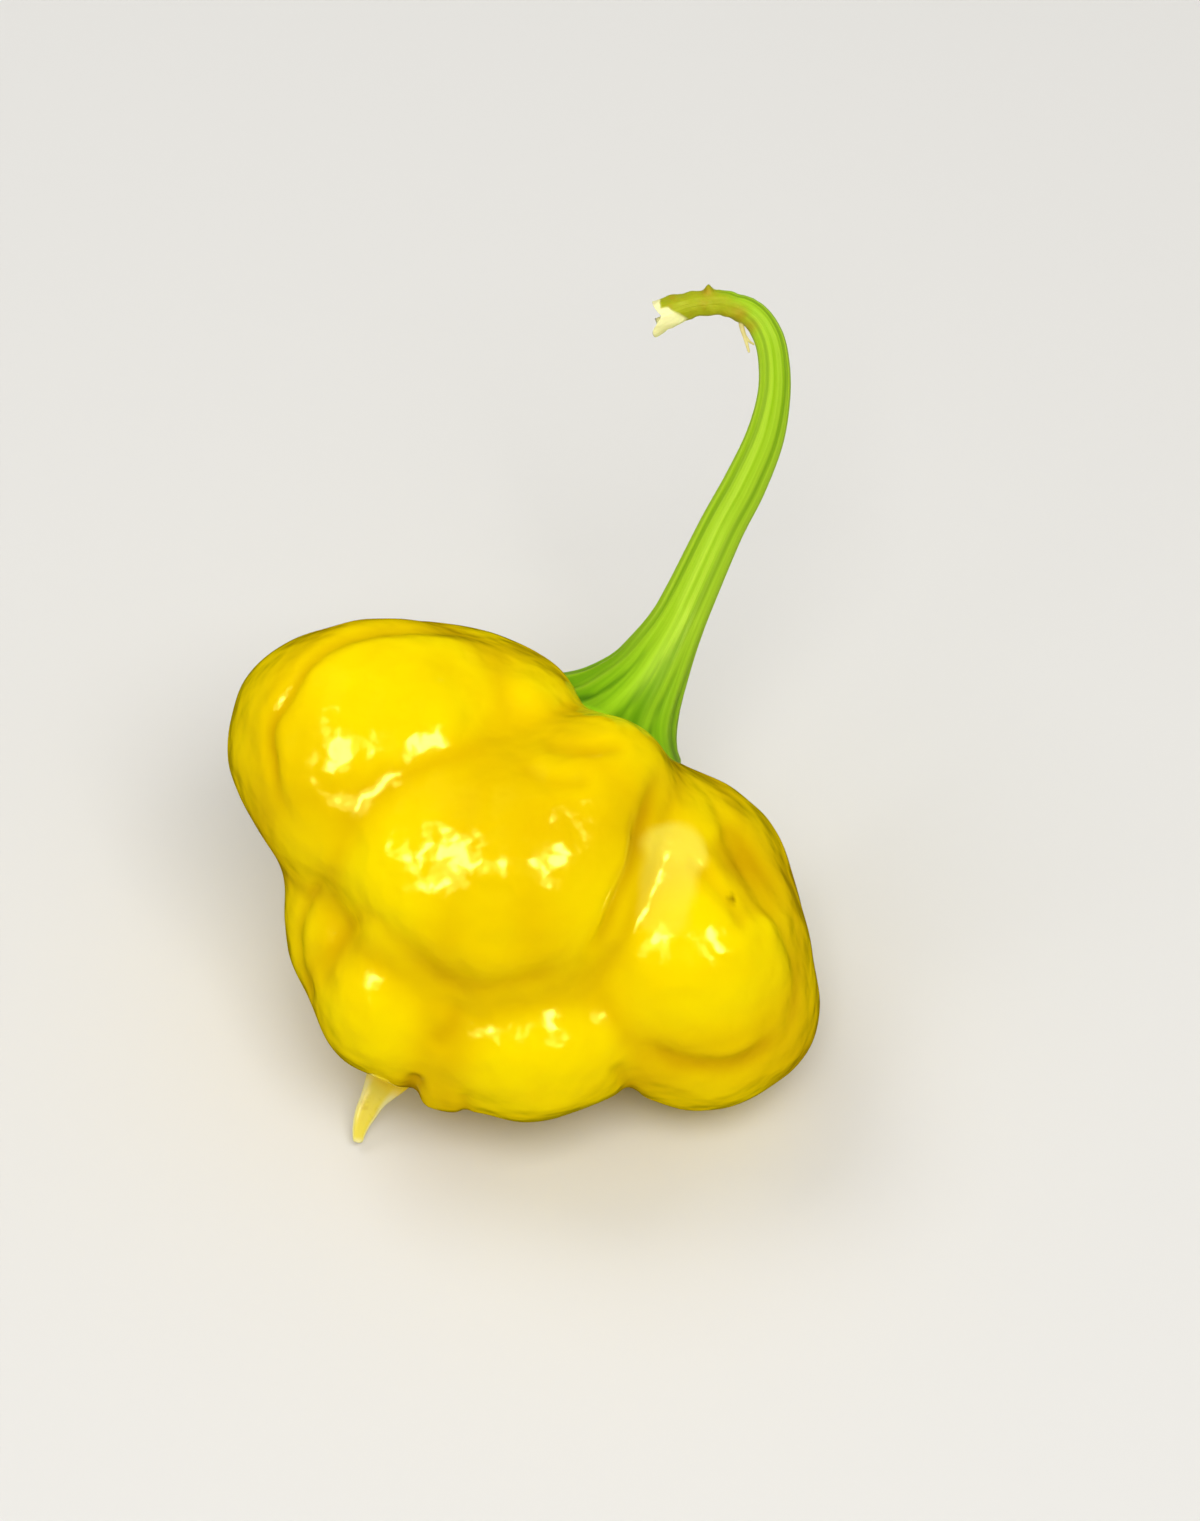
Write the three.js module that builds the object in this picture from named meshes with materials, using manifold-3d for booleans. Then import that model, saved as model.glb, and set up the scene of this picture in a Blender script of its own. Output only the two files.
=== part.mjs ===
// A ripe yellow chilli pepper of the lobed, lantern-shaped kind, as picked: a pod with its pointed tail, and the
// green stalk, grown in one with the calyx that spreads over the pod's top. Millimetres, +Z up, resting on z = 0.
//
// Both pieces are laid out in the pod's own frame, from the middle of the pod: x to the right, y up and z out of
// the pod's best side. RECLINE then lays the pod on its three lowest lobes, so that this side faces -Y and up.

import * as THREE from "three";
import { mergeVertices } from "three/addons/utils/BufferGeometryUtils.js";
import Module from "manifold-3d";

const wasm = await Module();
wasm.setup();

// Driving dimensions
const RECLINE = THREE.MathUtils.degToRad(40); // the best side's turn about X, from facing straight up
const POD_AT = new THREE.Vector3(0.07, -7.64, 16.75); // the pod's middle; its height sets how flat the lobes rest
const HEART = new THREE.Vector3(-0.5, 0.5, -3); // the point inside the pod that sees its whole skin
const POD_DETAIL = 18; // the skin has 20 * (POD_DETAIL + 1)^2 triangles
const BLEND = 1.2; // how softly two lobes run into each other
const CALYX_GAP = 0.3; // between the calyx and the skin under it

// The pod's lobes: each is an ellipsoid with its centre, its half-sizes and its turn about z in degrees.
const LOBES = [
  { name: "core", centre: [0, -1, -2], radii: [14, 11.5, 12], turn: 0 },
  { name: "left shoulder", centre: [-10.6, 10.4, 4.4], radii: [9.7, 8.9, 8.2], turn: 0 },
  { name: "left shoulder, lower", centre: [-13, 5.6, 3.8], radii: [6, 6.4, 7.4], turn: 0 },
  { name: "left rim", centre: [-13.3, 10.7, 0.4], radii: [9.5, 8.8, 10.2], turn: 0 },
  { name: "top rim", centre: [-5.2, 11.4, -1.5], radii: [8.1, 7.8, 8.8], turn: 0 },
  { name: "calyx bulge", centre: [-0.3, 13.1, 1.6], radii: [3.9, 3.7, 6.2], turn: -38 },
  { name: "calyx seat", centre: [4.4, 7.2, -4.6], radii: [6.2, 6.4, 7.2], turn: -30 },
  { name: "front shoulder, left", centre: [-5.4, 1.3, 9.4], radii: [7.9, 7.8, 5.8], turn: 0 },
  { name: "front shoulder, right", centre: [1.9, 0.4, 9.2], radii: [6.4, 7.7, 6.4], turn: -18 },
  { name: "front shoulder", centre: [-1.6, 0.4, 9.4], radii: [8, 8.3, 6.3], turn: 0 },
  { name: "front shoulder, upper", centre: [2.2, 4.2, 6.2], radii: [7.6, 6.4, 8.6], turn: 40 },
  { name: "front shoulder, top", centre: [5.9, 7.8, 5.6], radii: [4.9, 4.6, 6.8], turn: -12 },
  { name: "under the front shoulder", centre: [-1, -7.6, 2], radii: [7.5, 4.5, 8], turn: 0 },
  { name: "under its left", centre: [-8, -5.6, 1.8], radii: [6.4, 5, 7.4], turn: 0 },
  { name: "right shoulder", centre: [12.4, -5.4, 3.4], radii: [7.9, 7.8, 8.9], turn: 0 },
  { name: "right shoulder, upper", centre: [11.7, 1.6, 1.6], radii: [5.1, 6.8, 7.8], turn: 24 },
  { name: "right rim", centre: [16.1, -5, -2], radii: [5.3, 9.5, 8.5], turn: 24 },
  { name: "right rim, upper", centre: [14.6, 1.6, -1.5], radii: [4.6, 5.6, 6.5], turn: 30 },
  { name: "above the right foot", centre: [13.4, -10, 0.4], radii: [6.8, 5, 8.4], turn: 0 },
  { name: "right foot", centre: [14.2, -12.2, -2], radii: [6.9, 5.1, 8.6], turn: 16 },
  { name: "bottom", centre: [0.8, -12.4, 3.2], radii: [7.6, 5.9, 7.8], turn: 0 },
  { name: "beside the bottom", centre: [-5, -10.9, 1.6], radii: [4.8, 4.6, 7.2], turn: 0 },
  { name: "bottom knob", centre: [-6, -14.9, 1.6], radii: [2, 2.2, 3.4], turn: 0 },
  { name: "lower left", centre: [-10, -9, 2.8], radii: [5.7, 5.7, 7.2], turn: 0 },
  { name: "left waist", centre: [-14.7, -2.8, -0.8], radii: [3.7, 6.5, 6.5], turn: 0 },
  { name: "left foot", centre: [-5.2, -11, -4.6], radii: [6.7, 4.4, 7.8], turn: 0 },
  { name: "back shoulder", centre: [-0.5, 4.6, -13.8], radii: [9.8, 9.3, 9.4], turn: 0 },
  { name: "back shoulder, top", centre: [5.6, 7.6, -9.6], radii: [5.6, 5.6, 6.4], turn: -20 },
  { name: "back left", centre: [-10, 3, -8], radii: [7.6, 9, 8.6], turn: 10 },
  { name: "back right", centre: [11, -2.4, -8.7], radii: [8.6, 9.4, 8.5], turn: 12 },
].map((lobe) => ({
  centre: new THREE.Vector3(...lobe.centre),
  radii: new THREE.Vector3(...lobe.radii),
  turn: THREE.MathUtils.degToRad(lobe.turn),
}));

// The stalk, from inside the pod's top to the broken end where it was picked: a point and the half-width there.
const STALK = [
  { at: [5, 8.5, -2.6], half: 6.5 },
  { at: [6.4, 11, -2.4], half: 5.6 },
  { at: [7.6, 12.9, -2.4], half: 4.5 },
  { at: [9.3, 15.4, -2.4], half: 3.3 },
  { at: [10.4, 17.3, -2.5], half: 2.7 },
  { at: [11.6, 19.5, -2.6], half: 2.2 },
  { at: [12.7, 21.8, -2.6], half: 1.98 },
  { at: [15.1, 27, -2], half: 1.76 },
  { at: [16.9, 30.4, -1.2], half: 1.68 },
  { at: [18.4, 33.9, -0.2], half: 1.5 },
  { at: [19.1, 37.1, 0.8], half: 1.28 },
  { at: [19.1, 39.7, 1.5], half: 1.2 },
  { at: [18.6, 41.8, 2], half: 1.16 },
  { at: [17.4, 43.4, 2.3], half: 1.08 },
  { at: [15.3, 44.2, 2.4], half: 0.98 },
  { at: [13.3, 44.2, 2.2], half: 0.98 },
  { at: [11.7, 43.8, 1.8], half: 1.12 },
  { at: [10.2, 43.2, 1.3], half: 1.4 },
];
const STALK_STEPS = 76;
const STALK_SIDES = 30;
const CALYX_RIBS = 5; // main veins of the calyx, which run on up the stalk as its corners
const RIB_RISE = 0.08; // a rib's height at the calyx, as a share of the half-width
const CALYX_FOOT = 1.2; // how far the calyx spreads where it meets the skin
const CALYX_FOOT_HEIGHT = 0.9; // how high above the skin the spread has sunk to about a third
const FORK_DEPTH = 0.9; // the notch in the torn end

// The tail at the blossom end, from inside the skin to its blunt tip.
const TAIL = [
  { at: [-9.3, -13.1, -3], half: 2.6 },
  { at: [-10.6, -15.2, -3.1], half: 1.8 },
  { at: [-11.7, -16.9, -3.3], half: 1.08 },
  { at: [-12.4, -18.2, -3.5], half: 0.84 },
  { at: [-12.8, -19.3, -3.6], half: 0.6 },
  { at: [-13, -20.4, -3.6], half: 0.36 },
];
const TAIL_STEPS = 14;
const TAIL_SIDES = 10;
const TAIL_FLATNESS = 0.75; // its thickness out of the best side, as a share of its width

const BEST_SIDE = new THREE.Vector3(0, 0, 1);
const UP = new THREE.Vector3(0, 0, 1).applyAxisAngle(new THREE.Vector3(1, 0, 0), -RECLINE);

// About how far a point is outside one lobe, and below 0 inside it.
function outsideLobe(point, lobe) {
  const scaled = point.clone().sub(lobe.centre).applyAxisAngle(BEST_SIDE, -lobe.turn).divide(lobe.radii);
  const reach = scaled.length();
  const slope = scaled.divide(lobe.radii).length();
  return slope > 0 ? (reach * (reach - 1)) / slope : -lobe.radii.x;
}

// The same for the whole pod, whose lobes run into each other over about BLEND.
function outsidePod(point) {
  let sum = 0;
  for (const lobe of LOBES) sum += Math.exp(-outsideLobe(point, lobe) / BLEND);
  return -BLEND * Math.log(sum);
}

// A closed geometry whose triangles share their vertices, with only its positions left.
function welded(geometry) {
  geometry.deleteAttribute("normal");
  geometry.deleteAttribute("uv");
  return mergeVertices(geometry, 1e-5);
}

// The skin, or a surface a little outside it: the points of a sphere move in along their rays until they meet it,
// and stop at the surface that the pod rests on.
function skin(outside) {
  const geometry = welded(new THREE.IcosahedronGeometry(1, POD_DETAIL));
  const position = geometry.getAttribute("position");
  const ray = new THREE.Vector3();
  for (let i = 0; i < position.count; i++) {
    ray.fromBufferAttribute(position, i).normalize();
    let far = 40;
    for (let step = 0; step < 60; step++) {
      far -= 0.8 * (outsidePod(ray.clone().multiplyScalar(far).add(HEART)) - outside);
    }
    const fall = -UP.dot(ray);
    if (fall > 0) far = Math.min(far, (POD_AT.z + UP.dot(HEART)) / fall);
    position.setXYZ(i, ...ray.multiplyScalar(far).add(HEART));
  }
  return geometry;
}

// A cylinder bent along a smooth curve through the points, with shape(half, t, x, y) giving where the point (x, y)
// of the unit circle goes at the share t of the curve, where its half-width is half: across it, out of the best
// side, and along it. spread(point, t, angle) is how much further from the curve the point is then moved.
function bent(points, steps, sides, shape, spread = () => 0) {
  const curve = new THREE.CatmullRomCurve3(points.map(({ at }) => new THREE.Vector3(...at)), false, "centripetal");
  const widths = new THREE.CatmullRomCurve3(
    points.map(({ half }) => new THREE.Vector3(half, 0, 0)),
    false,
    "catmullrom",
  );
  const geometry = welded(new THREE.CylinderGeometry(1, 1, 1, sides, steps));
  const position = geometry.getAttribute("position");
  for (let i = 0; i < position.count; i++) {
    const t = position.getY(i) + 0.5;
    const [x, y] = [position.getX(i), position.getZ(i)];
    const tangent = curve.getTangent(t);
    const across = new THREE.Vector3().crossVectors(tangent, BEST_SIDE).normalize();
    const outward = new THREE.Vector3().crossVectors(across, tangent);
    const [a, b, c] = shape(widths.getPoint(t).x, t, x, y);
    const away = across.multiplyScalar(a).addScaledVector(outward, b);
    const point = curve.getPoint(t).add(away).addScaledVector(tangent, c);
    point.addScaledVector(away.normalize(), spread(point, t, Math.atan2(y, x)));
    position.setXYZ(i, ...point);
  }
  return geometry;
}

// The calyx is ribbed where it spreads over the pod, and the ribs die out up the stalk. The torn end is forked.
function stalkShape(half, t, x, y) {
  const angle = Math.atan2(y, x);
  const rise = RIB_RISE * (1 - THREE.MathUtils.smoothstep(t, 0.05, 0.6)) + 0.03;
  const radius = half * (1 + rise * Math.cos(CALYX_RIBS * angle));
  const fork = FORK_DEPTH * (Math.abs(x) - 0.5) * THREE.MathUtils.smoothstep(t, 0.93, 1);
  return [x * radius, y * radius, fork];
}

// The foot of the calyx turns outwards over the skin, in blunt teeth.
function calyxSpread(point, t, angle) {
  const near = Math.exp(-Math.max(outsidePod(point), 0) / CALYX_FOOT_HEIGHT);
  const teeth = 1 - 0.45 * Math.cos(CALYX_RIBS * angle);
  return CALYX_FOOT * near * teeth * (1 - THREE.MathUtils.smoothstep(t, 0.15, 0.25));
}

function tailShape(half, t, x, y) {
  return [x * half, y * half * TAIL_FLATNESS, 0];
}

function solid(geometry) {
  return new wasm.Manifold(
    new wasm.Mesh({
      numProp: 3,
      vertProperties: geometry.getAttribute("position").array,
      triVerts: new Uint32Array(geometry.index.array),
    }),
  );
}

function mesh(name, manifold, material) {
  const { vertProperties, triVerts } = manifold.getMesh();
  const geometry = new THREE.BufferGeometry()
    .setAttribute("position", new THREE.BufferAttribute(vertProperties, 3))
    .setIndex(new THREE.BufferAttribute(triVerts, 1));
  geometry.computeVertexNormals();
  const made = new THREE.Mesh(geometry, material);
  made.name = name;
  return made;
}

const YELLOW_SKIN = new THREE.MeshStandardMaterial({ color: 0xf5d000, roughness: 0.22, metalness: 0 });
const GREEN_STALK = new THREE.MeshStandardMaterial({ color: 0x8fbf1e, roughness: 0.5, metalness: 0 });

const pod = solid(skin(0)).add(solid(bent(TAIL, TAIL_STEPS, TAIL_SIDES, tailShape)));
const stalk = solid(bent(STALK, STALK_STEPS, STALK_SIDES, stalkShape, calyxSpread)).subtract(
  solid(skin(CALYX_GAP)),
);

const chilli = new THREE.Group();
chilli.rotation.x = RECLINE;
chilli.position.copy(POD_AT);
chilli.add(mesh("pod", pod, YELLOW_SKIN), mesh("stalk_with_calyx", stalk, GREEN_STALK));

const root = new THREE.Group();
root.add(chilli);
export default root;
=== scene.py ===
# A ripe yellow chilli pepper of the lobed, lantern-shaped kind: the pod, its pale tail, and the green stalk,
# grown in one with the calyx, with its torn end. The shapes are laid out in millimetres in the pod's own
# frame, as its solids are: x to the right, y up and z out of the best side, from the middle of the pod.
import math

import bmesh
import bpy
import numpy as np
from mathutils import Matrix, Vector, noise


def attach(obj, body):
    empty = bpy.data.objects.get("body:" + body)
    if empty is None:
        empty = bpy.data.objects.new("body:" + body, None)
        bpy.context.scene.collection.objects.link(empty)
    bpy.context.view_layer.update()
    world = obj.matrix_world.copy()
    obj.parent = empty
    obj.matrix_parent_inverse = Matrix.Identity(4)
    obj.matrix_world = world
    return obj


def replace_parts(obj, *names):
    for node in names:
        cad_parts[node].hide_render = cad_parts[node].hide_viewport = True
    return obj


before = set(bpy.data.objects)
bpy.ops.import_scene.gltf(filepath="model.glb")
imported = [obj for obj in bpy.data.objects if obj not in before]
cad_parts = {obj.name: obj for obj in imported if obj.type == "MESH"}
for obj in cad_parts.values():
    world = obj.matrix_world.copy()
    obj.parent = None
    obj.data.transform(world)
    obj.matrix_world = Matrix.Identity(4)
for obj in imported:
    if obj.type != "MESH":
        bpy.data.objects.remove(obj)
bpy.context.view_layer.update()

MM = 0.001
RECLINE = math.radians(40)  # the best side's turn about X, from facing straight up
POD_AT = np.array([0.07, -7.64, 16.75])  # the pod's middle
HEART = np.array([-0.5, 0.5, -3])  # the point inside the pod that sees its whole skin
OUTSIDE = 30.0  # farther from the heart than any of the skin
STEPS_IN = 28  # how often a point moves towards the skin, which is enough to reach it
STEP_IN = 0.9  # each move, as a share of how far away the skin is
BLEND = 1.2  # how softly two lobes run into each other
BEST_SIDE = np.array([0.0, 0.0, 1.0])
UP = np.array([0, math.sin(RECLINE), math.cos(RECLINE)])

# The pod's lobes: each is an ellipsoid with its centre, its half-sizes and its turn about z in degrees.
LOBES = {
    "core": ((0, -1, -2), (14, 11.5, 12), 0),
    "left shoulder": ((-10.6, 10.4, 4.4), (9.7, 8.9, 8.2), 0),
    "left shoulder, lower": ((-13, 5.6, 3.8), (6, 6.4, 7.4), 0),
    "left rim": ((-13.3, 10.7, 0.4), (9.5, 8.8, 10.2), 0),
    "top rim": ((-5.2, 11.4, -1.5), (8.1, 7.8, 8.8), 0),
    "calyx bulge": ((-0.3, 13.1, 1.6), (3.9, 3.7, 6.2), -38),
    "calyx seat": ((4.4, 7.2, -4.6), (6.2, 6.4, 7.2), -30),
    "front shoulder, left": ((-5.4, 1.3, 9.4), (7.9, 7.8, 5.8), 0),
    "front shoulder, right": ((1.9, 0.4, 9.2), (6.4, 7.7, 6.4), -18),
    "front shoulder": ((-1.6, 0.4, 9.4), (8.0, 8.3, 6.3), 0),
    "front shoulder, upper": ((2.2, 4.2, 6.2), (7.6, 6.4, 8.6), 40),
    "front shoulder, top": ((5.9, 7.8, 5.6), (4.9, 4.6, 6.8), -12),
    "under the front shoulder": ((-1, -7.6, 2), (7.5, 4.5, 8), 0),
    "under its left": ((-8, -5.6, 1.8), (6.4, 5, 7.4), 0),
    "right shoulder": ((12.4, -5.4, 3.4), (7.9, 7.8, 8.9), 0),
    "right shoulder, upper": ((11.7, 1.6, 1.6), (5.1, 6.8, 7.8), 24),
    "right rim": ((16.1, -5, -2), (5.3, 9.5, 8.5), 24),
    "right rim, upper": ((14.6, 1.6, -1.5), (4.6, 5.6, 6.5), 30),
    "above the right foot": ((13.4, -10, 0.4), (6.8, 5, 8.4), 0),
    "right foot": ((14.2, -12.2, -2), (6.9, 5.1, 8.6), 16),
    "bottom": ((0.8, -12.4, 3.2), (7.6, 5.9, 7.8), 0),
    "beside the bottom": ((-5, -10.9, 1.6), (4.8, 4.6, 7.2), 0),
    "bottom knob": ((-6, -14.9, 1.6), (2, 2.2, 3.4), 0),
    "lower left": ((-10, -9, 2.8), (5.7, 5.7, 7.2), 0),
    "left waist": ((-14.7, -2.8, -0.8), (3.7, 6.5, 6.5), 0),
    "left foot": ((-5.2, -11, -4.6), (6.7, 4.4, 7.8), 0),
    "back shoulder": ((-0.5, 4.6, -13.8), (9.8, 9.3, 9.4), 0),
    "back shoulder, top": ((5.6, 7.6, -9.6), (5.6, 5.6, 6.4), -20),
    "back left": ((-10, 3, -8), (7.6, 9, 8.6), 10),
    "back right": ((11, -2.4, -8.7), (8.6, 9.4, 8.5), 12),
}

# Folds and wrinkles: the depth and half-width of the groove, the side that it is on, 1 for the best side and
# -1 for the back, and the line that it follows across the pod.
CREASES = {
    "left rim": (0.5, 0.5, 1, (
        (-16.7, 3.1), (-18.4, 5.9), (-19.1, 9.0), (-19.3, 11.6), (-17.9, 13.9), (-16.2, 16.4), (-13.8, 18.2),
        (-10.4, 19.1), (-7.0, 19.0), (-3.6, 18.6), (-0.6, 17.8))),
    "beside the bulge": (0.25, 1.4, 1, (
        (-8.8, 17.7), (-6.0, 16.4), (-4.2, 14.6), (-3.2, 12.4), (-1.4, 10.9))),
    "under the left shoulder": (0.25, 1.5, 1, (
        (-14.2, 2.2), (-12.2, 6.2), (-9.0, 8.4), (-4.6, 10.0), (-0.6, 10.6))),
    "wrinkle by the calyx": (0.4, 0.8, 1, ((0.4, 11.0), (2.4, 10.2), (4.5, 9.9), (6.6, 10.1), (8.6, 10.3))),
    "second wrinkle": (0.35, 0.8, 1, ((-1.0, 9.4), (0.6, 8.4), (1.8, 7.7), (4.0, 7.6), (5.9, 7.9))),
    "right edge of the front shoulder": (0.6, 0.7, 1, (
        (10.6, 9.6), (9.9, 7.4), (9.0, 4.4), (8.7, 3.0), (8.0, 0.8), (7.0, -1.6), (5.8, -4.2), (4.0, -5.8))),
    "right ridge": (0.4, 0.7, 1, (
        (12.2, 2.2), (13.4, 0.9), (14.6, -0.3), (15.6, -1.5), (16.4, -2.9), (16.9, -4.6))),
    "right seam": (0.4, 0.6, 1, (
        (13.4, 8.6), (14.6, 6.0), (15.8, 3.6), (17.2, 1.2), (18.8, -1.6), (20.1, -4.2), (20.8, -6.6),
        (20.8, -9.0), (20.2, -11.4), (18.8, -13.4))),
    "right hollow": (0.7, 1.9, 1, ((14.6, 4.4), (16.2, 2.0), (17.6, -0.6), (18.6, -3.6))),
    "right seam, outer": (0.25, 0.5, 1, (
        (15.0, 5.6), (17.8, 1.8), (19.9, -1.6), (21.6, -5.6), (21.8, -9.0), (21.0, -11.8))),
    "right fold": (0.5, 0.9, 1, (
        (8.6, -11.8), (10.8, -13.6), (13.4, -14.3), (16.2, -14.0), (18.4, -12.6), (19.8, -10.6))),
    "foot notch": (0.4, 0.8, 1, ((7.0, -13.6), (7.9, -15.6), (8.2, -17.4))),
    "left waist": (0.4, 0.55, 1, (
        (-14.9, 1.4), (-15.6, -0.4), (-16.9, -2.2), (-17.5, -4.2), (-17.2, -6.4), (-16.5, -8.2),
        (-15.8, -9.6))),
    "above the lower left": (0.4, 1.0, 1, ((-12.0, -1.6), (-13.4, -3.8), (-14.7, -6.2), (-15.4, -9.0))),
    "under the front shoulder": (0.35, 1.0, 1, (
        (-13.0, 0.6), (-12.2, -1.8), (-10.4, -3.7), (-8.2, -5.5), (-5.8, -7.3), (-3.2, -7.8), (-0.4, -7.3),
        (2.6, -6.4), (4.6, -5.6))),
    "lower valley": (0.35, 1.1, 1, ((-5.0, -8.6), (-5.6, -11.0), (-7.2, -12.6))),
    "beside the knob": (0.8, 0.8, 1, ((-8.1, -14.5), (-8.6, -15.8), (-8.7, -16.8), (-8.6, -18.0))),
    "under the knob": (0.3, 0.5, 1, ((-4.8, -16.2), (-4.6, -17.2), (-4.5, -18.2))),
    "back fold": (0.4, 0.9, -1, ((-16, 6), (-11, 9), (-6, 9.5), (-2, 13))),
    "back seam": (0.4, 0.8, -1, ((9, 8), (6, 3), (5.5, -3), (8, -9), (7, -13))),
    "back seam, left": (0.35, 0.8, -1, ((-4, -3), (-6, -7), (-11, -9), (-14, -8))),
}
CREASE_LIPS = 0.3  # how far the skin swells on both sides of a groove, as a share of the groove's depth
FRONT_EDGE = -4  # the best side's creases die out where the skin turns back past this z

# The skin's own unevenness, from broad hollows to the small dimples that break up its reflections: the size
# and the height, in mm
UNEVENNESS = ((9, 0.35), (4.5, 0.22), (2.4, 0.06))

# The stalk, from inside the pod's top to the torn end: a point and the half-width there
STALK = (
    ((5, 8.5, -2.6), 6.5), ((6.4, 11, -2.4), 5.6), ((7.6, 12.9, -2.4), 4.5),
    ((9.3, 15.4, -2.4), 3.3), ((10.4, 17.3, -2.5), 2.7), ((11.6, 19.5, -2.6), 2.2),
    ((12.7, 21.8, -2.6), 1.98), ((15.1, 27, -2), 1.76), ((16.9, 30.4, -1.2), 1.68),
    ((18.4, 33.9, -0.2), 1.5), ((19.1, 37.1, 0.8), 1.28), ((19.1, 39.7, 1.5), 1.2),
    ((18.6, 41.8, 2), 1.16), ((17.4, 43.4, 2.3), 1.08), ((15.3, 44.2, 2.4), 0.98),
    ((13.3, 44.2, 2.2), 0.98), ((11.7, 43.8, 1.8), 1.12), ((10.2, 43.2, 1.3), 1.4),
)
# The tail at the blossom end, from inside the skin to its blunt tip: a point and the half-width there
TAIL = (
    ((-9.3, -13.1, -3), 2.6), ((-10.6, -15.2, -3.1), 1.8), ((-11.7, -16.9, -3.3), 1.08),
    ((-12.4, -18.2, -3.5), 0.84), ((-12.8, -19.3, -3.6), 0.6), ((-13, -20.4, -3.6), 0.36),
)
TAIL_FLATNESS = 0.75  # its thickness out of the best side, as a share of its width
CALYX_RIBS = 13
STEM_CORNERS = 5  # the corners of the stem, and the teeth of the calyx
CALYX_FOOT = 1.2  # how far the calyx spreads where it meets the skin
CALYX_FOOT_HEIGHT = 0.9  # how high above the skin the spread has sunk to about a third
FORK_DEPTH = 0.5  # how far the two prongs of the torn end stand out
FLAP = 0.9  # how much further the lower prong of the torn end reaches, as a flap of bare pith
# Brown scars near the torn end: the middle of each, its size and how dark it is
SCARS = (
    ((14.0, 45.1), 0.45, 0.6), ((13.7, 44.2), 0.4, 0.25), ((16.5, 43.4), 0.6, 0.5),
    ((17.3, 42.4), 0.55, 0.5), ((15.4, 43.3), 0.4, 0.2), ((11.3, 44.7), 0.25, 0.35),
    ((11.1, 43.9), 0.25, 0.35),
)
SPUR = ((14.1, 45.2), 0.3, 0.45)  # a snag on top of the bend: its middle, size and height
PIT_FROM = 0.985  # the share of the stalk's length where its end starts to close
PIT_DEPTH = 0.9  # how deep the torn end is hollow
# Fibres torn from the inside of the bend, with their half-widths
FIBRES = (
    (((16.7, 43.6, 2.0), 0.24), ((16.6, 42.6, 2.3), 0.2), ((16.9, 41.5, 2.6), 0.15),
     ((17.2, 40.4, 2.7), 0.09)),
    (((16.9, 41.7, 2.5), 0.12), ((17.2, 41.3, 2.6), 0.1), ((17.6, 41.05, 2.4), 0.07)),
)

# The line along the middle of the painted reflection on the right shoulder: a paler patch that stands in for
# a broad reflection of the light
PAINTED_REFLECTION_LINE = ((11.5, 2.3), (11.2, 1.0), (10.8, -0.6), (10.4, -2.4))
SPECK = ((15.7, -1.3), (0.2, 0.42))  # a small brown mark on the right shoulder: its middle and its half-sizes


def smooth(share):
    """0 below 0, 1 above 1, and an even S between them."""
    share = np.clip(share, 0, 1)
    return share * share * (3 - 2 * share)


def curve(points, shares):
    """Points on a smooth line through the given ones, at each share of its length from 0 to 1."""
    points = np.array(points, float)
    padded = np.vstack([2 * points[0] - points[1], points, 2 * points[-1] - points[-2]])
    place = np.clip(np.asarray(shares, float), 0, 1) * (len(points) - 1)
    i = np.minimum(place.astype(int), len(points) - 2)
    t = (place - i)[..., None]
    a, b, c, d = (padded[i + k] for k in range(4))
    return 0.5 * (2 * b + (c - a) * t + (2 * a - 5 * b + 4 * c - d) * t**2 + (3 * b - a - 3 * c + d) * t**3)


def near_line(points, line, samples=60):
    """How far each point is from a line across the pod, and at which share of its length it is nearest."""
    shares = np.linspace(0, 1, samples)
    on_line = curve(line, shares)
    nearest = np.full(len(points), 1e9)
    where = np.zeros(len(points))
    for start, end, share in zip(on_line[:-1], on_line[1:], shares[:-1]):
        along = end - start
        t = np.clip((points[:, :2] - start) @ along / (along @ along), 0, 1)
        away = np.linalg.norm(points[:, :2] - start - t[:, None] * along, axis=1)
        closer = away < nearest
        nearest[closer] = away[closer]
        where[closer] = share + t[closer] * shares[1]
    return nearest, where


def uneven(points, size, seed):
    """Smooth noise between about -1 and 1 at each point, whose hills and hollows are about size mm across."""
    shift = Vector((seed * 7.3, seed * 3.1, seed * 5.7))
    return np.array([noise.noise(Vector(point) / size + shift) for point in points])


def outside_pod(points):
    """About how far each point is outside the lobes, below 0 inside them, and how much it is in a valley."""
    total = 0
    most = 0
    for centre, radii, turn in LOBES.values():
        a = math.radians(turn)
        x, y, z = (points - centre).T
        turned = np.stack([x * math.cos(a) + y * math.sin(a), y * math.cos(a) - x * math.sin(a), z], axis=1)
        scaled = turned / radii
        reach = np.linalg.norm(scaled, axis=1)
        slope = np.maximum(np.linalg.norm(scaled / radii, axis=1), 1e-9)
        share = np.exp(-reach * (reach - 1) / slope / BLEND)
        total = total + share
        most = np.maximum(most, share)
    return -BLEND * np.log(total), 1 - most / total


def outward(points):
    """The direction straight out of the skin at each point."""
    reach = 0.05
    slope = np.stack(
        [outside_pod(points + reach * axis)[0] - outside_pod(points - reach * axis)[0] for axis in np.eye(3)],
        axis=1,
    )
    return slope / np.linalg.norm(slope, axis=1)[:, None]


def creased(points):
    """How far the creases push the skin in at each point, from a little below 0 on their lips."""
    push = np.zeros(len(points))
    for depth, width, side, line in CREASES.values():
        away, share = near_line(points, line)
        fade = smooth(np.minimum(share, 1 - share) / 0.22)
        shown = 1 / (1 + np.exp(-side * (points[:, 2] - FRONT_EDGE)))
        groove = np.exp(-((away / width) ** 2)) - CREASE_LIPS * np.exp(-((away / (2.4 * width)) ** 2))
        push += depth * groove * fade * shown
    return push


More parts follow.
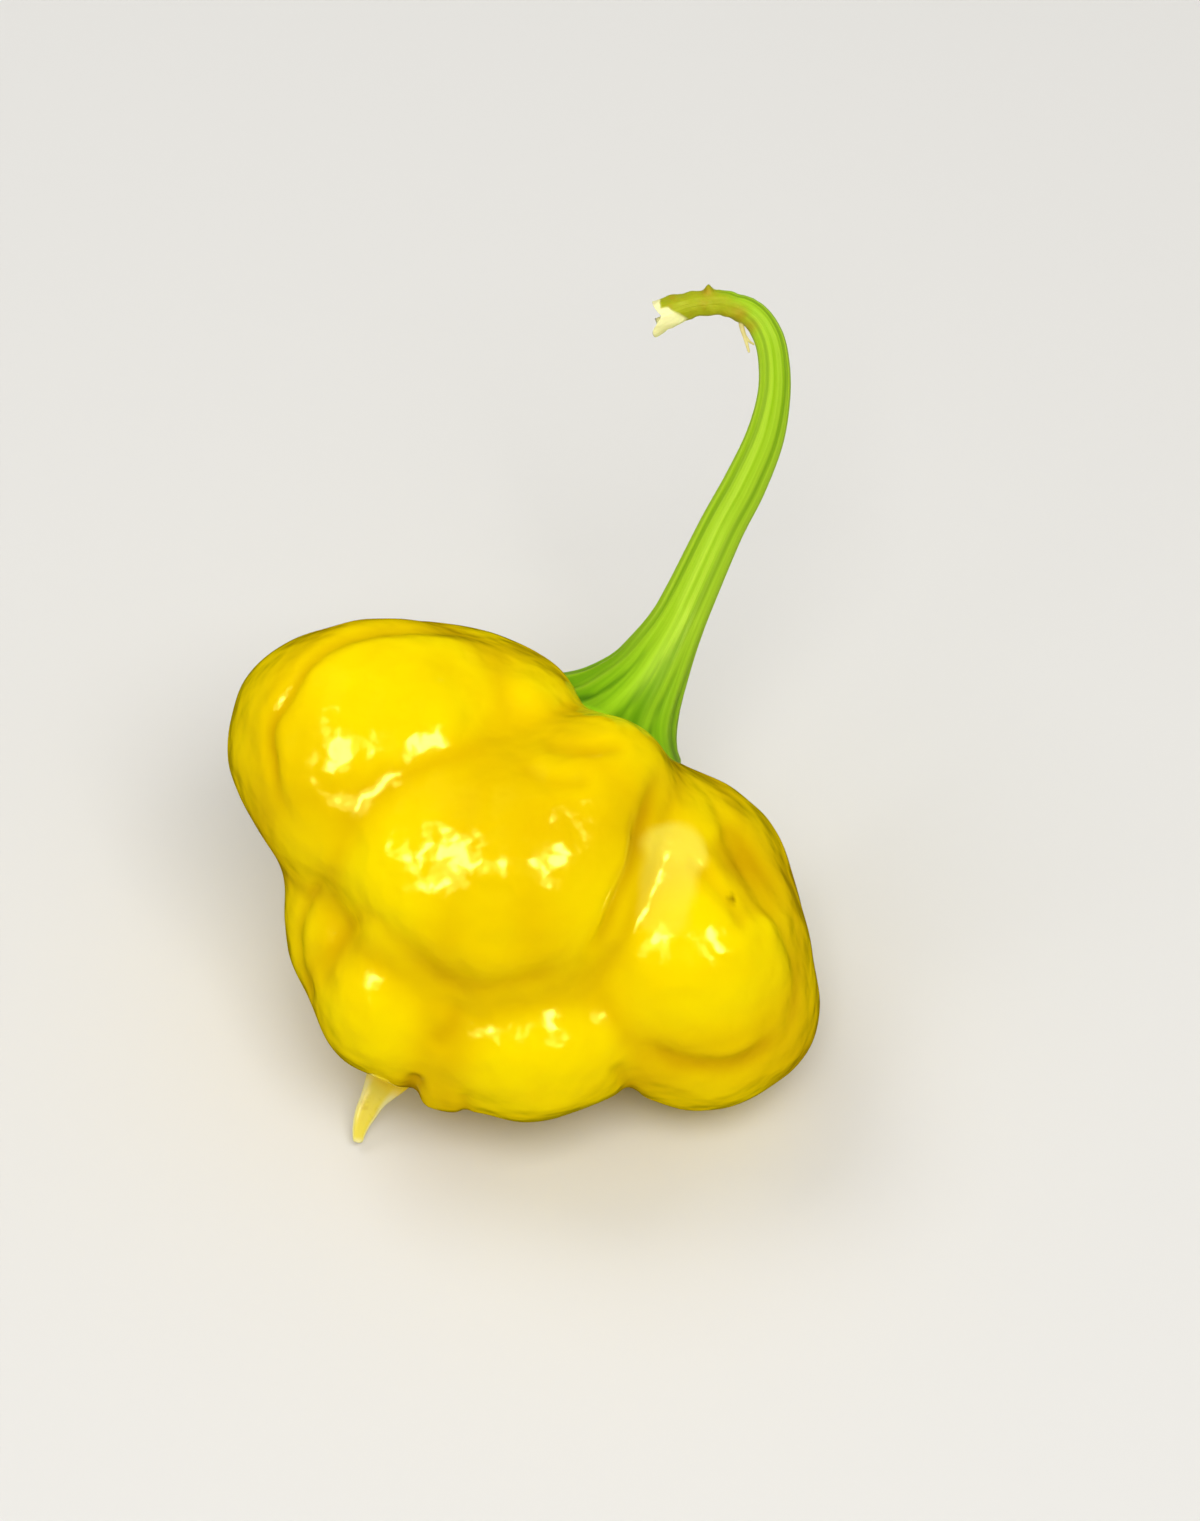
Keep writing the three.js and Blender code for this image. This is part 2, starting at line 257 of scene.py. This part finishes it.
def placed(points):
    """Points of the pod's own frame, in the row frame in metres."""
    x, y, z = points.T
    leaned = np.stack(
        [x, y * math.cos(RECLINE) - z * math.sin(RECLINE), y * math.sin(RECLINE) + z * math.cos(RECLINE)],
        axis=1,
    )
    return (leaned + POD_AT) * MM


def moved(mesh, points):
    """The bmesh's vertices moved to these points of the pod's own frame."""
    for vertex, point in zip(mesh.verts, placed(points)):
        vertex.co = point


def piece(name, mesh, material, attributes=None):
    """A finished piece from a bmesh, with a number for each vertex in each named attribute."""
    data = bpy.data.meshes.new(name)
    mesh.to_mesh(data)
    mesh.free()
    data.shade_smooth()
    data.materials.append(material)
    for attribute, values in (attributes or {}).items():
        data.attributes.new(attribute, "FLOAT", "POINT").data.foreach_set("value", values.astype(np.float32))
    made = bpy.data.objects.new(name, data)
    bpy.context.scene.collection.objects.link(made)
    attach(made, "root")
    return made


def linear(colour, alpha=1.0):
    """An sRGB hex colour as linear red, green, blue and alpha."""
    parts = [int(colour[i : i + 2], 16) / 255 for i in (1, 3, 5)]
    return [p / 12.92 if p <= 0.04045 else ((p + 0.055) / 1.055) ** 2.4 for p in parts] + [alpha]


def per(size):
    """A texture's scale, in object coordinates, for a pattern about size mm across."""
    return 1 / (size * MM)


def add(tree, kind, inputs=None, **settings):
    """A node with its settings, and its inputs set to a value or linked from another node's socket."""
    node = tree.nodes.new(kind)
    for setting, value in settings.items():
        setattr(node, setting, value)
    for socket, value in (inputs or {}).items():
        if isinstance(value, bpy.types.NodeSocket):
            tree.links.new(value, node.inputs[socket])
        else:
            node.inputs[socket].default_value = value
    return node


FACTOR, FIRST, SECOND, MIXED = 0, 6, 7, 2  # the sockets of a Mix node that mixes colours


def material(name):
    """A new material, its node tree and its surface shader."""
    made = bpy.data.materials.new(name)
    made.use_nodes = True
    return made, made.node_tree, made.node_tree.nodes["Principled BSDF"]


def waxy_chilli_skin():
    """Ripe chilli skin under its own thin wax: a golden wall that glows where light enters it, with painted
    shade that darkens its valleys and a painted reflection as a paler patch on the right shoulder, and a hard
    gloss whose glints are broken up by shallow waves in the skin."""
    made, tree, shader = material("waxy_chilli_skin")
    place = add(tree, "ShaderNodeTexCoord").outputs["Object"]
    # The shares of painted shade in the valleys and of the painted reflection on the right shoulder
    valley = add(tree, "ShaderNodeAttribute", attribute_name="valley").outputs["Fac"]
    pale = add(tree, "ShaderNodeAttribute", attribute_name="pale").outputs["Fac"]
    cloudy = add(tree, "ShaderNodeTexNoise", {
        "Vector": place, "Scale": per(7), "Detail": 3, "Roughness": 0.55})
    clouds = add(tree, "ShaderNodeMapRange", {
        "Value": cloudy.outputs["Fac"], "From Min": 0.35, "From Max": 0.7})
    ripe = add(tree, "ShaderNodeMix", {
        FACTOR: clouds.outputs["Result"], FIRST: linear("#FAD800"),
        SECOND: linear("#FFE100")}, data_type="RGBA")
    # Painted shade: the skin is coloured a darker gold in the valleys and creases, where shade falls
    valley_shade = add(tree, "ShaderNodeMix", {
        FACTOR: valley, FIRST: ripe.outputs[MIXED], SECOND: linear("#D8AA00")}, data_type="RGBA")
    # Painted reflection: a paler yellow patch on the right shoulder that stands in for a broad reflection of
    # the light
    painted_reflection = add(tree, "ShaderNodeMix", {
        FACTOR: pale, FIRST: valley_shade.outputs[MIXED], SECOND: linear("#FFEA50")}, data_type="RGBA")
    speck = add(tree, "ShaderNodeAttribute", attribute_name="speck").outputs["Fac"]
    specked = add(tree, "ShaderNodeMix", {
        FACTOR: speck, FIRST: painted_reflection.outputs[MIXED], SECOND: linear("#8C6400")}, data_type="RGBA")
    pores = add(tree, "ShaderNodeTexNoise", {
        "Vector": place, "Scale": per(1.3), "Detail": 2, "Roughness": 0.4})
    relief = add(tree, "ShaderNodeBump", {
        "Height": pores.outputs["Fac"], "Strength": 1.0, "Distance": 0.03 * MM})
    waves = add(tree, "ShaderNodeTexNoise", {
        "Vector": place, "Scale": per(2.7), "Detail": 1.5, "Roughness": 0.45})
    wavy = add(tree, "ShaderNodeBump", {
        "Height": waves.outputs["Fac"], "Normal": relief.outputs["Normal"], "Strength": 1.0,
        "Distance": 0.45 * MM})
    tree.links.new(specked.outputs[MIXED], shader.inputs["Base Color"])
    tree.links.new(wavy.outputs["Normal"], shader.inputs["Normal"])
    shader.inputs["Roughness"].default_value = 0.13
    shader.inputs["IOR"].default_value = 1.4
    shader.inputs["Specular IOR Level"].default_value = 0.7
    shader.inputs["Specular Tint"].default_value = linear("#FFFF78")
    shader.inputs["Subsurface Weight"].default_value = 0.28
    shader.inputs["Subsurface Radius"].default_value = (1.0, 0.9, 0.1)
    shader.inputs["Subsurface Scale"].default_value = 0.8 * MM
    return made


def green_stalk():
    """A fresh green stem: long fibres in two greens, dull, with painted shade that darkens the grooves
    between its ribs, the soft pale edge that its fine hairs give, and olive and brown towards the torn end."""
    made, tree, shader = material("fibrous_green_stalk")
    on_stalk = add(tree, "ShaderNodeUVMap", uv_map="along").outputs["UV"]
    place = add(tree, "ShaderNodeTexCoord").outputs["Object"]
    groove = add(tree, "ShaderNodeAttribute", attribute_name="groove").outputs["Fac"]
    calyx = add(tree, "ShaderNodeAttribute", attribute_name="calyx").outputs["Fac"]
    dried = add(tree, "ShaderNodeAttribute", attribute_name="dried").outputs["Fac"]
    torn = add(tree, "ShaderNodeAttribute", attribute_name="torn").outputs["Fac"]
    scar = add(tree, "ShaderNodeAttribute", attribute_name="scar").outputs["Fac"]
    # Fibres about 0.3 mm apart, which run several centimetres up the stalk
    drawn_out = add(tree, "ShaderNodeMapping", {"Vector": on_stalk, "Scale": (30, 2.2, 1)})
    fibres = add(tree, "ShaderNodeTexNoise", {
        "Vector": drawn_out.outputs["Vector"], "Scale": 1, "Detail": 3})
    stripes = add(tree, "ShaderNodeMapRange", {
        "Value": fibres.outputs["Fac"], "From Min": 0.35, "From Max": 0.65})
    stem = add(tree, "ShaderNodeMix", {
        FACTOR: stripes.outputs["Result"], FIRST: linear("#92BE0C"),
        SECOND: linear("#B0D62E")}, data_type="RGBA")
    darker = add(tree, "ShaderNodeMix", {
        FACTOR: stripes.outputs["Result"], FIRST: linear("#66A000"),
        SECOND: linear("#94C80C")}, data_type="RGBA")
    cup = add(tree, "ShaderNodeMix", {
        FACTOR: calyx, FIRST: stem.outputs[MIXED], SECOND: darker.outputs[MIXED]}, data_type="RGBA")
    # Painted shade: darker green in the grooves, where shade falls
    shaded_grooves = add(tree, "ShaderNodeMix", {
        FACTOR: groove, FIRST: cup.outputs[MIXED], SECOND: linear("#427800")}, data_type="RGBA")
    olive = add(tree, "ShaderNodeMix", {
        FACTOR: dried, FIRST: shaded_grooves.outputs[MIXED], SECOND: linear("#AAB01A")}, data_type="RGBA")
    blotches = add(tree, "ShaderNodeTexNoise", {
        "Vector": place, "Scale": per(0.9), "Detail": 3, "Roughness": 0.6})
    blotchy = add(tree, "ShaderNodeMapRange", {
        "Value": blotches.outputs["Fac"], "From Min": 0.52, "From Max": 0.66})
    blotched = add(tree, "ShaderNodeMath", {0: blotchy.outputs["Result"], 1: dried}, operation="MULTIPLY")
    blotches_and_scars = add(tree, "ShaderNodeMath", {
        0: blotched.outputs["Value"], 1: 0.12, 2: scar}, operation="MULTIPLY_ADD", use_clamp=True)
    scars = add(tree, "ShaderNodeMix", {
        FACTOR: blotches_and_scars.outputs["Value"], FIRST: olive.outputs[MIXED],
        SECOND: linear("#B4821C")}, data_type="RGBA")
    pith = add(tree, "ShaderNodeMix", {
        FACTOR: torn, FIRST: scars.outputs[MIXED], SECOND: linear("#FFFAB4")}, data_type="RGBA")
    relief = add(tree, "ShaderNodeBump", {
        "Height": fibres.outputs["Fac"], "Strength": 1.0, "Distance": 0.1 * MM})
    tree.links.new(pith.outputs[MIXED], shader.inputs["Base Color"])
    tree.links.new(relief.outputs["Normal"], shader.inputs["Normal"])
    shader.inputs["Roughness"].default_value = 0.45
    shader.inputs["IOR"].default_value = 1.45
    shader.inputs["Subsurface Weight"].default_value = 0.15
    shader.inputs["Subsurface Radius"].default_value = (0.5, 1.0, 0.15)
    shader.inputs["Subsurface Scale"].default_value = 0.6 * MM
    shader.inputs["Specular IOR Level"].default_value = 0.3
    shader.inputs["Specular Tint"].default_value = linear("#FAFF8C")
    shader.inputs["Sheen Weight"].default_value = 0.25
    shader.inputs["Sheen Roughness"].default_value = 0.25
    shader.inputs["Sheen Tint"].default_value = linear("#F0FA8C")
    return made


def pale_tail():
    """The dried blossom end: thin, nearly see-through skin, yellow along its middle and whitish at its edges,
    with brownish smudges."""
    made, tree, shader = material("translucent_dried_tail")
    place = add(tree, "ShaderNodeTexCoord").outputs["Object"]
    tip = add(tree, "ShaderNodeAttribute", attribute_name="tip").outputs["Fac"]
    thin = add(tree, "ShaderNodeAttribute", attribute_name="thin").outputs["Fac"]
    smudge = add(tree, "ShaderNodeTexNoise", {
        "Vector": place, "Scale": per(1.6), "Detail": 3, "Roughness": 0.6})
    smudged = add(tree, "ShaderNodeMapRange", {
        "Value": smudge.outputs["Fac"], "From Min": 0.5, "From Max": 0.72})
    dry = add(tree, "ShaderNodeMix", {
        FACTOR: smudged.outputs["Result"], FIRST: linear("#EAD846"),
        SECOND: linear("#C4A21E")}, data_type="RGBA")
    edged = add(tree, "ShaderNodeMix", {
        FACTOR: thin, FIRST: dry.outputs[MIXED], SECOND: linear("#F0E6A0")}, data_type="RGBA")
    coloured = add(tree, "ShaderNodeMix", {
        FACTOR: tip, FIRST: linear("#FAD800"), SECOND: edged.outputs[MIXED]}, data_type="RGBA")
    tree.links.new(coloured.outputs[MIXED], shader.inputs["Base Color"])
    shader.inputs["Roughness"].default_value = 0.35
    shader.inputs["IOR"].default_value = 1.42
    shader.inputs["Subsurface Weight"].default_value = 0.5
    shader.inputs["Subsurface Radius"].default_value = (1.0, 0.9, 0.4)
    shader.inputs["Subsurface Scale"].default_value = 0.6 * MM
    return made


def dry_fibre():
    """Plant fibre that has dried: straw-coloured, matt, a little darker in places."""
    made, tree, shader = material("dry_plant_fibre")
    place = add(tree, "ShaderNodeTexCoord").outputs["Object"]
    drying = add(tree, "ShaderNodeTexNoise", {"Vector": place, "Scale": per(0.8), "Detail": 2})
    straw = add(tree, "ShaderNodeMix", {
        FACTOR: drying.outputs["Fac"], FIRST: linear("#E6DC8C"), SECOND: linear("#BEA64A")}, data_type="RGBA")
    tree.links.new(straw.outputs[MIXED], shader.inputs["Base Color"])
    shader.inputs["Roughness"].default_value = 0.7
    return made


def pod():
    """The pod: the points of a sphere move in along their rays until they meet the lobes, and are then
    creased and dimpled. The lowest lobes are pressed flat on the surface that they lie on."""
    mesh = bmesh.new()
    bmesh.ops.create_icosphere(mesh, subdivisions=7, radius=1)
    rays = np.array([vertex.co for vertex in mesh.verts])
    rays /= np.linalg.norm(rays, axis=1)[:, None]
    far = np.full(len(rays), OUTSIDE)
    for _ in range(STEPS_IN):
        far -= STEP_IN * outside_pod(HEART + rays * far[:, None])[0]
    points = HEART + rays * far[:, None]
    depth = -creased(points)
    # Painted shade: the share of darkening that colours the skin a darker gold where the lobes meet and along
    # the creases
    valley = 0.55 * smooth((outside_pod(points)[1] - 0.15) / 0.55) + 0.5 * smooth(-depth / 0.45)
    # Painted reflection: how near each point is to the line of the paler patch on the right shoulder
    away, share = near_line(points, PAINTED_REFLECTION_LINE)
    away += 0.35 * uneven(points, 2.2, 7)
    for seed, (size, height) in enumerate(UNEVENNESS):
        depth += height * uneven(points, size, seed + 1)
    points += outward(points) * depth[:, None]
    below = np.minimum(points @ UP + POD_AT[2], 0)
    points -= below[:, None] * UP
    # The painted reflection's strength: paler yellow along the patch, fading downwards and towards the back
    pale = smooth((2.7 - 0.5 * share - away) / 0.8) * smooth(points[:, 2] + 4) * (0.66 - 0.4 * share)
    from_speck = (points[:, :2] - SPECK[0]) / SPECK[1]
    speck = np.exp(-((from_speck**2).sum(axis=1) ** 2)) * (points[:, 2] > 0)
    moved(mesh, points)
    layers = {"valley": valley, "pale": pale, "speck": speck}
    return piece("pod_skin", mesh, waxy_chilli_skin(), layers)


def swept(line, sides, steps, shape):
    """A grid with the UV map "along", as a bmesh, the points that roll it up into a tube bent along the line,
    and each vertex's angle round it and share along it. shape gives the distance across, out of the best side
    and along at each angle and share, and brings both ends to a point."""
    mesh = bmesh.new()
    mesh.loops.layers.uv.new("along")
    bmesh.ops.create_grid(mesh, x_segments=sides, y_segments=steps, size=1, calc_uvs=True)
    flat = np.array([vertex.co for vertex in mesh.verts])
    angle = (flat[:, 0] + 1) * math.pi
    share = (flat[:, 1] + 1) / 2
    middle = curve(line, share)
    ahead = curve(line, share + 1e-3) - curve(line, share - 1e-3)
    ahead /= np.linalg.norm(ahead, axis=1)[:, None]
    across = np.cross(ahead, BEST_SIDE)
    across /= np.linalg.norm(across, axis=1)[:, None]
    out = np.cross(across, ahead)
    a, b, c = shape(angle, share)
    points = middle + a[:, None] * across + b[:, None] * out + c[:, None] * ahead
    return mesh, points, angle, share


def marked(mesh, layers):
    """The bmesh with a number for each vertex in each named layer, which the materials read."""
    for name, values in layers.items():
        layer = mesh.verts.layers.float.new(name)
        for vertex, value in zip(mesh.verts, values):
            vertex[layer] = value


def closed(mesh):
    """The rolled-up grid with its seam and its two ends merged, and its faces outwards."""
    bmesh.ops.remove_doubles(mesh, verts=mesh.verts, dist=0.002 * MM)
    bmesh.ops.recalc_face_normals(mesh, faces=mesh.faces)


def half_width(line, share):
    """The half-width at each share of a line whose points carry one."""
    return curve([(half, 0) for _, half in line], share)[:, 0]


def stalk():
    """The stalk with the calyx: ribs that run from the cup up the stem, a foot that hugs the skin, and a
    torn, forked end whose lower prong is a flap of bare pith."""
    def lines(angle, share):
        turn = angle + 1.1 * share
        return np.cos(CALYX_RIBS * turn + 0.7 * np.sin(2 * turn)), np.cos(STEM_CORNERS * turn + 1.9)

    def shape(angle, share):
        half = half_width(STALK, share)
        cup = 1 - smooth((share - 0.05) / 0.3)
        ribs, corners = lines(angle, share)
        closing = np.clip((share - PIT_FROM) / (1 - PIT_FROM), 0, 1)
        round_end = np.sqrt(np.clip(1 - closing**2, 0, 1))
        root = np.clip(share / 0.004, 0, 1)
        radius = half * (1 + 0.035 * cup * ribs + 0.018 * (1 - 0.6 * cup) * corners) * root * round_end
        lower_side = smooth(-0.1 - 1.5 * np.cos(angle))
        prongs = FORK_DEPTH * (np.abs(np.cos(angle)) - 0.5) + FLAP * lower_side
        along = prongs * smooth((share - 0.93) / 0.06) - PIT_DEPTH * smooth(closing)
        return radius * np.cos(angle), radius * np.sin(angle), along

    mesh, points, angle, share = swept([at for at, _ in STALK], 96, 520, shape)
    away = points - curve([at for at, _ in STALK], share)
    away /= np.maximum(np.linalg.norm(away, axis=1), 1e-6)[:, None]
    above_skin = np.maximum(outside_pod(points)[0], 0)
    near = np.exp(-above_skin / CALYX_FOOT_HEIGHT) * (1 - smooth((share - 0.15) / 0.1))
    teeth = 1 - 0.45 * np.cos(STEM_CORNERS * angle) + 0.08 * np.cos(8 * angle + 2)
    spur = SPUR[2] * np.exp(-((np.linalg.norm(points[:, :2] - SPUR[0], axis=1) / SPUR[1]) ** 2))
    rough = 0.12 * uneven(points, 0.7, 4) * smooth((share - 0.74) / 0.05)
    points += away * (CALYX_FOOT * near * teeth + spur + rough)[:, None]

    ribs, corners = lines(angle, share)
    cup = 1 - smooth((share - 0.03) / 0.3)
    # Painted shade: the grooves between the calyx's ribs, and more faintly the hollows along the stem's
    # corners, are coloured darker green
    streaky = 0.75 + 0.5 * uneven(points, 1.8, 8)
    groove = np.maximum(smooth(-1.6 - 2.6 * ribs) * cup * streaky, 0.4 * smooth(-1.4 - 2.4 * corners))
    dried = smooth((share - 0.76 - 0.045 * np.cos(angle)) / 0.07)
    ragged = 0.2 * uneven(points, 0.8, 5)
    pith_top = 43.9 - 0.55 * np.maximum(points[:, 0] - 11, 0)
    bare = smooth((pith_top - points[:, 1] + ragged) / 0.2) * smooth((12.6 - points[:, 0] + ragged) / 0.3)
    top_prong = smooth((10.5 - points[:, 0] + ragged) / 0.2)
    bare = np.maximum(np.maximum(bare, top_prong) * (share > 0.9), smooth((share - 0.98) / 0.008))
    scar = np.zeros(len(points))
    for middle, size, darkness in SCARS:
        far = np.linalg.norm(points[:, :2] - middle, axis=1) / size
        scar = np.maximum(scar, darkness * np.exp(-(far**2)) * (share > 0.6))
    moved(mesh, points)
    marked(mesh, {"groove": groove, "calyx": cup, "dried": dried, "torn": bare, "scar": scar})
    closed(mesh)
    return piece("stalk_with_calyx_skin", mesh, green_stalk())


def torn_fibres():
    """The fibres that were torn loose inside the bend, as thin tubes that taper to a point."""
    joined = bmesh.new()
    for line in FIBRES:
        def shape(angle, share):
            half = half_width(line, share) * np.sqrt(np.clip(1 - (2 * share - 1) ** 30, 0, 1))
            return half * np.cos(angle), 0.6 * half * np.sin(angle), 0 * share

        mesh, points, angle, share = swept([at for at, _ in line], 12, 40, shape)
        moved(mesh, points + 0.08 * uneven(points, 0.8, 6)[:, None] * BEST_SIDE)
        closed(mesh)
        data = bpy.data.meshes.new("fibre")
        mesh.to_mesh(data)
        mesh.free()
        joined.from_mesh(data)
        bpy.data.meshes.remove(data)
    return piece("torn_fibres", joined, dry_fibre())


def tail():
    """The tail: a flat, slightly hollow horn, pale and thin along its two edges and at its blunt tip."""
    def shape(angle, share):
        half = half_width(TAIL, share)
        ends = np.sqrt(np.clip(1 - (2 * share - 1) ** 40, 0, 1))
        flat = TAIL_FLATNESS * (1 - 0.35 * smooth(share / 0.4))
        hollow = 1 - 0.12 * np.exp(-((np.cos(angle) / 0.35) ** 2)) * smooth(share / 0.3)
        return half * ends * np.cos(angle), half * ends * flat * hollow * np.sin(angle), 0 * share

    mesh, points, angle, share = swept([at for at, _ in TAIL], 48, 90, shape)
    points += 0.1 * uneven(points, 1.6, 9)[:, None] * BEST_SIDE
    moved(mesh, points)
    edges = smooth((np.abs(np.cos(angle)) - 0.25 - 0.4 * smooth(share / 0.6)) / 0.35)
    thin = np.maximum(edges, smooth((share - 0.9) / 0.1))
    marked(mesh, {"tip": smooth((share - 0.2) / 0.15), "thin": thin})
    closed(mesh)
    return piece("tail", mesh, pale_tail())


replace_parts(pod(), "pod")
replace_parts(stalk(), "stalk_with_calyx")
torn_fibres()
tail()

# The plain pale floor
floor_mesh = bmesh.new()
bmesh.ops.create_grid(floor_mesh, x_segments=1, y_segments=1, size=1.5)
floor_data = bpy.data.meshes.new("floor")
floor_mesh.to_mesh(floor_data)
floor_mesh.free()
floor = bpy.data.objects.new("floor", floor_data)
bpy.context.scene.collection.objects.link(floor)
floor_paint, floor_tree, floor_shader = material("matt_pale_board")
floor_shader.inputs["Base Color"].default_value = linear("#DEDCD8")
floor_shader.inputs["Roughness"].default_value = 0.9
floor_data.materials.append(floor_paint)
floor.visible_glossy = False

# Colours are shown as an object's own, with no film look
bpy.context.scene.view_settings.view_transform = "Standard"

# Soft daylight all round, which the gloss leaves out. It mirrors two tall windows and the weaker glow round
# each, and those light nothing else, while the two broad panels light the scene and stay out of the gloss.
world = bpy.data.worlds.new("studio")
bpy.context.scene.world = world
world.use_nodes = True
world.node_tree.nodes["Background"].inputs["Color"].default_value = linear("#F4F4F2")
world.node_tree.nodes["Background"].inputs["Strength"].default_value = 0.5
world.cycles_visibility.glossy = False
MIDDLE = Vector(placed(np.array([[5.77, 9.19, 0]]))[0])  # what the middle of the picture shows
TO_VIEWER = Vector((0, -math.sin(RECLINE), math.cos(RECLINE)))
RIGHT = Vector((1, 0, 0))
PICTURE_UP = Vector((0, math.cos(RECLINE), math.sin(RECLINE)))
# Each lamp: the way to it (right, up, towards the viewer), its distance and size in mm, its power in watts,
# and whether it shows in the gloss alone
LIGHTS = {
    "window, left": ((-0.54, 0.1, 0.84), 600, (125, 240), 2.9, True),
    "window, right": ((0.46, 0.12, 0.88), 650, (170, 250), 4.4, True),
    "glow round the left window": ((-0.54, 0.1, 0.84), 640, (310, 390), 1.7, True),
    "glow round the right window": ((0.46, 0.12, 0.88), 690, (330, 390), 1.8, True),
    "panel in front": ((0.1, 0.18, 1.0), 750, (450, 350), 3.5, False),
    "panel, upper left": ((-0.5, 1.0, 0.6), 700, (400, 300), 1.2, False),
}
for name, (way, distance, (width, height), power, glossy) in LIGHTS.items():
    lamp = bpy.data.lights.new(name, "AREA")
    lamp.shape = "RECTANGLE"
    lamp.size = width * MM
    lamp.size_y = height * MM
    lamp.energy = power
    light = bpy.data.objects.new(name, lamp)
    light.visible_glossy = glossy
    light.visible_diffuse = not glossy
    to_light = (way[0] * RIGHT + way[1] * PICTURE_UP + way[2] * TO_VIEWER).normalized()
    light.location = MIDDLE + to_light * distance * MM
    light.rotation_euler = to_light.to_track_quat("Z", "Y").to_euler()
    bpy.context.scene.collection.objects.link(light)

# The camera, at the photograph's angle
CAMERA_FAR = 600  # mm from the middle of what it shows
PICTURE_HEIGHT = 117  # what the picture's height shows at the pod, in mm
SENSOR_HEIGHT = 36
lens = bpy.data.cameras.new("camera")
lens.sensor_fit = "VERTICAL"
lens.sensor_height = SENSOR_HEIGHT
lens.lens = SENSOR_HEIGHT * CAMERA_FAR / PICTURE_HEIGHT
lens.clip_start = 0.01
camera = bpy.data.objects.new("camera", lens)
camera.location = MIDDLE + TO_VIEWER * CAMERA_FAR * MM
camera.rotation_euler = (RECLINE, 0, 0)
bpy.context.scene.collection.objects.link(camera)
bpy.context.scene.camera = camera
